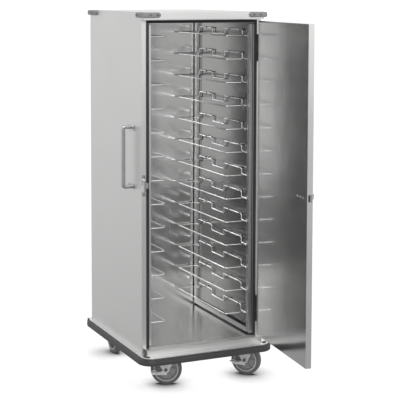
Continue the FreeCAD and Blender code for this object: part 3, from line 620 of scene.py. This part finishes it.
# The left leg lies flat behind the strike: its proud height is multiplied by
# 1 - dip_share * exp(-(distance from the latch's level / dip_half) ** 8).
near_strike = np.linspace(LATCH_LEVEL - dip_reach, LATCH_LEVEL + dip_reach, 25)
rise = np.concatenate([[GASKET_LOW[2]], near_strike, [seal_top]])
left_leg = np.stack([np.full(rise.shape, -seal_x), np.full(rise.shape, wall), rise], axis=-1)
right_leg = [(seal_x, wall, seal_top), (seal_x, wall, GASKET_LOW[2])]
seal_path = np.vstack([left_leg, right_leg])
dip = 1 - dip_share * np.exp(-(np.abs(seal_path[:, 2] - LATCH_LEVEL) / dip_half) ** 8)
dip[len(rise):] = 1.0
seal_points, seal_faces = swept(seal_path, seal_section(seal_width, seal_proud), TOWARD_DOOR)
flat = seal_points.reshape(len(seal_path), -1, 3)
flat[:, :, 1] = wall + (flat[:, :, 1] - wall) * dip[:, None]
add_piece("door_seal", (flat.reshape(-1, 3), seal_faces), GASKET, "cabinet",
          replaced=["gasket"])


# ------------------------------------------------------------------ tray slides
wire_radius = 3.2 * MM
tray_count = 13
tray_pitch = 114.3 * MM
lowest_tray = 307 * MM
tray_levels = lowest_tray + tray_pitch * np.arange(tray_count)
ledge_inner = LEDGE_LOW[0] + wire_radius
ledge_front = LEDGE_LOW[1] + wire_radius
ledge_rear = LEDGE_HIGH[1] - wire_radius
guard_x = (GUARD_LOW[0] + GUARD_HIGH[0]) / 2
guard_front, guard_rear = GUARD_LOW[1], GUARD_HIGH[1]
guard_rise = 28 * MM
wire_bend = 9 * MM
guard_bend = 6 * MM
ledge_end = 258 * MM
weld_radius = 4.6 * MM
weld_half = 3.4 * MM
collar_radius = 4.6 * MM
collar_half = 4 * MM
collar_crown_half = 3.4 * MM
shade_collar_places = (-222 * MM, -102 * MM, 170 * MM)


def ledge_rod():
    """U of wire that carries a tray's rim, at z = 0 on the right side."""
    path = rounded([(guard_x - wire_radius, ledge_front, 0), (ledge_inner, ledge_front, 0),
                    (ledge_inner, ledge_rear, 0), (ledge_end, ledge_rear, 0)], wire_bend)
    return swept(path, circle(wire_radius, 10), UP)


def guard_rod():
    """Stepped wire beside the wall, raised over two runs, at z = 0 on the right side."""
    turns = [(-243 * MM, 0, guard_rise), (-43 * MM, guard_rise, 0), (102 * MM, 0, guard_rise),
             (262 * MM, guard_rise, 0)]
    corners = [(guard_x, guard_front, 0)]
    for y, before, after in turns:
        corners.append((guard_x, y, before))
        corners.append((guard_x, y, after))
    corners.append((guard_x, guard_rear, 0))
    return swept(rounded(corners, guard_bend), circle(wire_radius, 10), RIGHT)


def weld_bead(x, y):
    """Small fillet where a ledge meets its guard or post."""
    t = np.linspace(0, np.pi, 7)
    profile = np.stack([weld_radius * np.sin(t), weld_half * np.cos(t)], axis=-1)
    return turned(profile, (x, y, 0), (1, 0, 0), sides=10)


def at_levels(piece):
    """One copy of a piece at each tray level."""
    return joined([moved(piece, (0, 0, z)) for z in tray_levels])


def guard_shade_collars():
    """Dark sleeves on the raised runs: two on the front run and one on the rear run. They are painted shade that
    stands in for the dark breaks in the wires' mirrored highlight.
    """
    profile = [(wire_radius, -collar_half), (collar_radius, -collar_crown_half),
               (collar_radius, collar_crown_half), (wire_radius, collar_half)]
    return joined([turned(profile, (guard_x, y, guard_rise), (0, 1, 0), sides=12)
                   for y in shade_collar_places])


right_ledges = at_levels(joined([ledge_rod(), weld_bead(guard_x - 4 * MM, ledge_front),
                                 weld_bead(ledge_end - 1 * MM, ledge_rear)]))
right_guards = at_levels(guard_rod())
right_shade_collars = at_levels(guard_shade_collars())
right_slides = (right_ledges, right_guards, right_shade_collars)
left_slides = tuple(mirrored(piece) for piece in right_slides)
for side, (ledges, guards, collars) in (("right", right_slides), ("left", left_slides)):
    add_piece(side + "_ledge_wires", ledges, WIRE, "cabinet",
              replaced=[side + "_ledges"])
    add_piece(side + "_guard_wires", guards, WIRE, "cabinet",
              replaced=[side + "_guards"])
    # The sleeves take the near-black seal rubber: painted shade for the dark breaks in the wires' highlight.
    add_piece(side + "_guard_shade_collars", collars, GASKET, "cabinet")


# ------------------------------------------------------------------ pull handles
def flat_bar_section(width, thickness, ease):
    """Rectangle with round corners, width along u and thickness along v."""
    corners = [(-width / 2, -thickness / 2, 0), (width / 2, -thickness / 2, 0),
               (width / 2, thickness / 2, 0), (-width / 2, thickness / 2, 0)]
    return rounded(corners, ease, closed=True, steps=5)[:, :2]


grip_width = 24 * MM
grip_thickness = 16 * MM
grip_bend = 9 * MM
grip_ease = 4.5 * MM
foot_height = 24 * MM
foot_thickness = 3 * MM


def pull_bar():
    """Flat bar with soft edges, bent out from the left side at tight corners."""
    y = (HANDLE_LOW[1] + HANDLE_HIGH[1]) / 2
    out = HANDLE_LOW[0] + grip_thickness / 2
    low, high = HANDLE_LOW[2] + grip_thickness / 2, HANDLE_HIGH[2] - grip_thickness / 2
    foot = -HALF_WIDTH - 1 * MM
    path = rounded([(foot, y, high), (out, y, high), (out, y, low), (foot, y, low)], grip_bend)
    return swept(path, flat_bar_section(grip_width, grip_thickness, grip_ease), TOWARD_DOOR)


def pull_feet():
    """Base plate at each end of the bar."""
    low = (-HALF_WIDTH - foot_thickness, HANDLE_LOW[1])
    high = (-HALF_WIDTH, HANDLE_HIGH[1])
    return joined([block((*low, z), (*high, z + foot_height))
                   for z in (HANDLE_LOW[2], HANDLE_HIGH[2] - foot_height)])


for side in ("left", "right"):
    bar, feet = pull_bar(), pull_feet()
    if side == "right":
        bar, feet = mirrored(bar), mirrored(feet)
    add_piece(side + "_pull_bar", bar, SHADED_HANDLE_CHROME, "cabinet",
              replaced=[side + "_handle"])
    add_piece(side + "_pull_feet", feet, SHADED_HANDLE_CHROME, "cabinet", edge=1.0 * MM)


# ------------------------------------------------------------------ latch mouth, a black plate painted as shade
door_free_edge = -295 * MM
door_inner_face = -359.5 * MM
mouth_half = 14.5 * MM
mouth_near = 6.2 * MM
mouth_far = 13.8 * MM
# A thin black plate on the door's free edge stands in for the shaded opening of the latch: painted shade.
mouth = block((door_free_edge - 0.9 * MM, door_inner_face - mouth_far, LATCH_LEVEL - mouth_half),
              (door_free_edge - 0.05 * MM, door_inner_face - mouth_near, LATCH_LEVEL + mouth_half))
add_piece("latch_mouth_painted_shade", opened(mouth), HINGE_PAINT, "door", edge=0.3 * MM,
          smooth=False)


# ------------------------------------------------------------------ wheels
TYRE_LOW, TYRE_HIGH = corners_of("rear_left_tyre")
CORE_LOW, CORE_HIGH = corners_of("rear_left_core")
tyre_radius = (TYRE_HIGH[2] - TYRE_LOW[2]) / 2
tyre_half = (TYRE_HIGH[0] - TYRE_LOW[0]) / 2
core_radius = (CORE_HIGH[2] - CORE_LOW[2]) / 2
core_half = (CORE_HIGH[0] - CORE_LOW[0]) / 2


def tyre(centre, axis):
    """Solid tread: a slightly crowned tread between two round shoulders."""
    shoulder = 6 * MM
    crown = 0.8 * MM
    t = np.linspace(0, np.pi / 2, 7)
    rim = np.stack([tyre_radius - shoulder * (1 - np.cos(t)) - crown,
                    tyre_half - shoulder + shoulder * np.sin(t)], axis=-1)
    half = np.vstack([[(tyre_radius, 0.0)], rim, [(core_radius, tyre_half)]])
    far = half[::-1] * [1, -1]
    return turned(np.vstack([half, far]), centre, axis, sides=72)


def rim_ring(centre, axis):
    """Pale moulded ring on both faces of a wheel's centre."""
    inside = core_radius - 5.5 * MM
    outside = core_radius - 0.5 * MM
    slope = 0.7 * MM
    root = core_half - 0.4 * MM
    crest = core_half + 0.7 * MM
    section = np.array([(inside, root), (inside + slope, crest), (outside - slope, crest),
                        (outside, root), (inside, root)])
    return joined([turned(section * [1, face], centre, axis, sides=72) for face in (-1, 1)])


for corner in ("front_left", "front_right", "rear_left", "rear_right"):
    spin = JOINTS[corner + "_wheel_spin"]
    centre, axis = spin["pos_m"], spin["axis"]
    add_piece(corner + "_tread", tyre(centre, axis), TREAD, corner + "_wheel",
              replaced=[corner + "_tyre"])
    add_piece(corner + "_rim_ring", rim_ring(centre, axis), RIM, corner + "_wheel")


# ------------------------------------------------------------------ cap corner pads
pad_depth = PAD_HIGH[0] - HALF_WIDTH
pad_low, pad_high = PAD_LOW[2], PAD_HIGH[2]
pad_reach = 80 * MM
rear_pad_reach = 105 * MM
pad_bend = 3 * MM
pad_squareness = 0.45
pad_end_share = 0.55
pad_tip_share = 0.02


def corner_pad(x_sign, face_y, into, side_reach):
    """Soft bar wrapped round a cap corner. Its section is a D, and it shrinks towards each end
    as the square root of one minus distance squared, so the ends are round."""
    x = x_sign * HALF_WIDTH
    half = (pad_high - pad_low) / 2
    middle = (pad_high + pad_low) / 2
    corners = [(x - x_sign * pad_reach, face_y, middle), (x, face_y, middle),
               (x, face_y + into * side_reach, middle)]
    path = rounded(corners, pad_bend, steps=8)
    crowded = 0.5 - 0.5 * np.cos(np.linspace(0, np.pi, 24))
    first = [path[0] + (path[1] - path[0]) * share for share in crowded]
    last = [path[-2] + (path[-1] - path[-2]) * share for share in crowded]
    path = np.vstack([first, path[2:-2], last])
    run = np.concatenate([[0], np.cumsum(np.linalg.norm(np.diff(path, axis=0), axis=1))])
    end = np.minimum(run, run[-1] - run)
    swell = np.sqrt(np.clip(1 - (1 - np.minimum(end / half, 1)) ** 2, pad_tip_share ** 2, 1))
    t = np.linspace(0, np.pi, 15)
    bulge = np.sign(np.cos(t)) * np.abs(np.cos(t)) ** pad_squareness * half
    depth = pad_depth * np.sin(t) ** pad_squareness
    out = -x_sign * into
    section = np.stack([bulge, out * depth], axis=-1)
    section = np.vstack([section, [(0.0, 0.0)]])
    points, faces = swept(path, section, UP)
    grid = points.reshape(len(path), len(section), 3)
    middle_line = path[:, None, :]
    shaped = grid.copy()
    shaped[:, :, 2] = middle + (grid[:, :, 2] - middle) * swell[:, None]
    flatten = (pad_end_share + (1 - pad_end_share) * swell)[:, None, None]
    shaped[:, :, :2] = middle_line[:, :, :2] + (grid[:, :, :2] - middle_line[:, :, :2]) * flatten
    return shaped.reshape(-1, 3), faces


pads = []
for x_sign in (-1, 1):
    pads.append(corner_pad(x_sign, CAP_LOW[1], 1, pad_reach))
    pads.append(corner_pad(x_sign, CAP_HIGH[1], -1, rear_pad_reach))
add_piece("corner_pads", joined(pads), PAD, "cabinet", replaced=["corner_bumpers"])


# ------------------------------------------------------------------ ground, light and camera
def studio_floor():
    """Pale matt ground that fills the view."""
    reach = 60.0
    points = np.array([(-reach, -reach, 0), (reach, -reach, 0), (reach, reach, 0),
                       (-reach, reach, 0)])
    mesh = bpy.data.meshes.new("studio_floor")
    mesh.from_pydata(points.tolist(), [], [[0, 1, 2, 3]])
    item = bpy.data.objects.new("studio_floor", mesh)
    bpy.context.scene.collection.objects.link(item)
    material = bpy.data.materials.new("pale floor")
    material.use_nodes = True
    nodes = material.node_tree.nodes
    links = material.node_tree.links
    nodes.clear()

    surface = nodes.new("NodeFrame")
    surface.label = "pale ground"
    output = nodes.new("ShaderNodeOutputMaterial")
    output.label = "ground"
    glow = nodes.new("ShaderNodeEmission")
    glow.label = "evenly lit pale ground"
    output.parent = surface
    glow.parent = surface

    contact_frame = nodes.new("NodeFrame")
    contact_frame.label = "contact shadow"
    nearness = nodes.new("ShaderNodeAmbientOcclusion")
    nearness.label = "dark only where a wheel rests"
    nearness.inputs["Distance"].default_value = 0.16
    soft = nodes.new("ShaderNodeMapRange")
    soft.label = "strength of the contact shadow"
    soft.inputs["From Min"].default_value = 0.45
    soft.inputs["From Max"].default_value = 0.97
    soft.inputs["To Min"].default_value = 0.04
    soft.inputs["To Max"].default_value = 1.05
    nearness.parent = contact_frame
    soft.parent = contact_frame

    links.new(nearness.outputs["AO"], soft.inputs["Value"])
    links.new(soft.outputs["Result"], glow.inputs["Strength"])
    links.new(glow.outputs["Emission"], output.inputs["Surface"])
    for node, spot in ((output, (600, 0)), (glow, (400, 0)), (soft, (200, 0)),
                       (nearness, (0, 0))):
        node.location = spot
    mesh.materials.append(material)
    item.visible_glossy = False


def studio_world():
    """Even pale surroundings; what metal mirrors is brighter above than below."""
    world = bpy.data.worlds.new("studio")
    bpy.context.scene.world = world
    world.use_nodes = True
    nodes = world.node_tree.nodes
    links = world.node_tree.links
    nodes.clear()

    choice_frame = nodes.new("NodeFrame")
    choice_frame.label = "which room a ray meets"
    output = nodes.new("ShaderNodeOutputWorld")
    output.label = "room"
    plain = nodes.new("ShaderNodeBackground")
    plain.label = "even pale room"
    plain.inputs["Color"].default_value = (1, 1, 1, 1)
    plain.inputs["Strength"].default_value = 1.15
    mirrored_room = nodes.new("ShaderNodeBackground")
    mirrored_room.label = "room as metal mirrors it"
    pick = nodes.new("ShaderNodeMixShader")
    pick.label = "mirror rays see the room's tones"
    rays = nodes.new("ShaderNodeLightPath")
    rays.label = "kind of ray"
    for node in (output, plain, pick, rays):
        node.parent = choice_frame

    mirror_frame = nodes.new("NodeFrame")
    mirror_frame.label = "tones that metal mirrors"
    place = nodes.new("ShaderNodeTexCoord")
    place.label = "direction"
    split = nodes.new("ShaderNodeVectorMath")
    split.label = "height of direction, raised towards the back and the right"
    split.operation = "DOT_PRODUCT"
    split.inputs[1].default_value = (0.12, 0.25, 1.0)
    tones = nodes.new("ShaderNodeValToRGB")
    tones.label = "tones from ground to ceiling"
    shift = nodes.new("ShaderNodeMapRange")
    shift.label = "height from 0 to 1"
    shift.inputs["From Min"].default_value = -1.0
    shift.inputs["From Max"].default_value = 1.0
    for node in (mirrored_room, place, split, shift, tones):
        node.parent = mirror_frame

    ramp = tones.color_ramp
    ramp.elements[0].position = 0.0
    ramp.elements[0].color = (0.30, 0.30, 0.30, 1)
    ramp.elements[1].position = 1.0
    ramp.elements[1].color = (0.95, 0.95, 0.95, 1)
    for height, tone in ((0.34, 0.40), (0.42, 0.50), (0.50, 0.76), (0.57, 0.90), (0.75, 1.0)):
        step = ramp.elements.new(height)
        step.color = (tone, tone, tone, 1)

    links.new(place.outputs["Generated"], split.inputs[0])
    links.new(split.outputs["Value"], shift.inputs["Value"])
    links.new(shift.outputs["Result"], tones.inputs["Fac"])
    links.new(tones.outputs["Color"], mirrored_room.inputs["Color"])
    links.new(rays.outputs["Is Glossy Ray"], pick.inputs["Fac"])
    links.new(plain.outputs["Background"], pick.inputs[1])
    links.new(mirrored_room.outputs["Background"], pick.inputs[2])
    links.new(pick.outputs["Shader"], output.inputs["Surface"])
    for node, spot in ((output, (800, 0)), (pick, (600, 0)), (plain, (300, 150)),
                       (mirrored_room, (300, -50)), (rays, (300, 400)), (place, (-600, 0)),
                       (split, (-400, 0)), (shift, (-200, 0)), (tones, (0, 0))):
        node.location = spot


def area_light(name, place, target, size, power):
    """Soft rectangular light that faces a point."""
    light = bpy.data.lights.new(name, "AREA")
    light.shape = "RECTANGLE"
    light.size, light.size_y = size
    light.energy = power
    item = bpy.data.objects.new(name, light)
    item.location = place
    direction = unit(np.array(target, float) - np.array(place, float))
    yaw = math.atan2(direction[1], direction[0]) - math.pi / 2
    pitch = math.asin(direction[2]) + math.pi / 2
    item.rotation_euler = (pitch, 0, yaw)
    item.visible_camera = False
    bpy.context.scene.collection.objects.link(item)


def view_camera():
    """Long lens from the front left, a little above the cap."""
    tilt_down = 0.0849
    roll = -0.0026
    turn = -0.4292
    camera = bpy.data.cameras.new("view")
    camera.lens = 110.3
    camera.sensor_width = 36.0
    camera.shift_x = -0.0031
    camera.shift_y = -0.2623
    item = bpy.data.objects.new("view", camera)
    item.location = (-2.4196, -5.6235, 1.8948)
    item.rotation_euler = (math.pi / 2 - tilt_down, roll, turn)
    bpy.context.scene.collection.objects.link(item)
    bpy.context.scene.camera = item


studio_floor()
studio_world()
area_light("high front light", (-1.5, -4.5, 4.5), (0, 0, 0.9), (3.0, 2.0), 120)
area_light("front softbox", (1.5, -4.0, 2.35), (0, -0.3, 1.5), (2.6, 2.2), 16)
area_light("left softbox", (-1.3, -4.0, 1.3), (0.2, -0.7, 1.2), (1.9, 2.3), 13)
view_camera()
bpy.context.scene.view_settings.view_transform = "Standard"
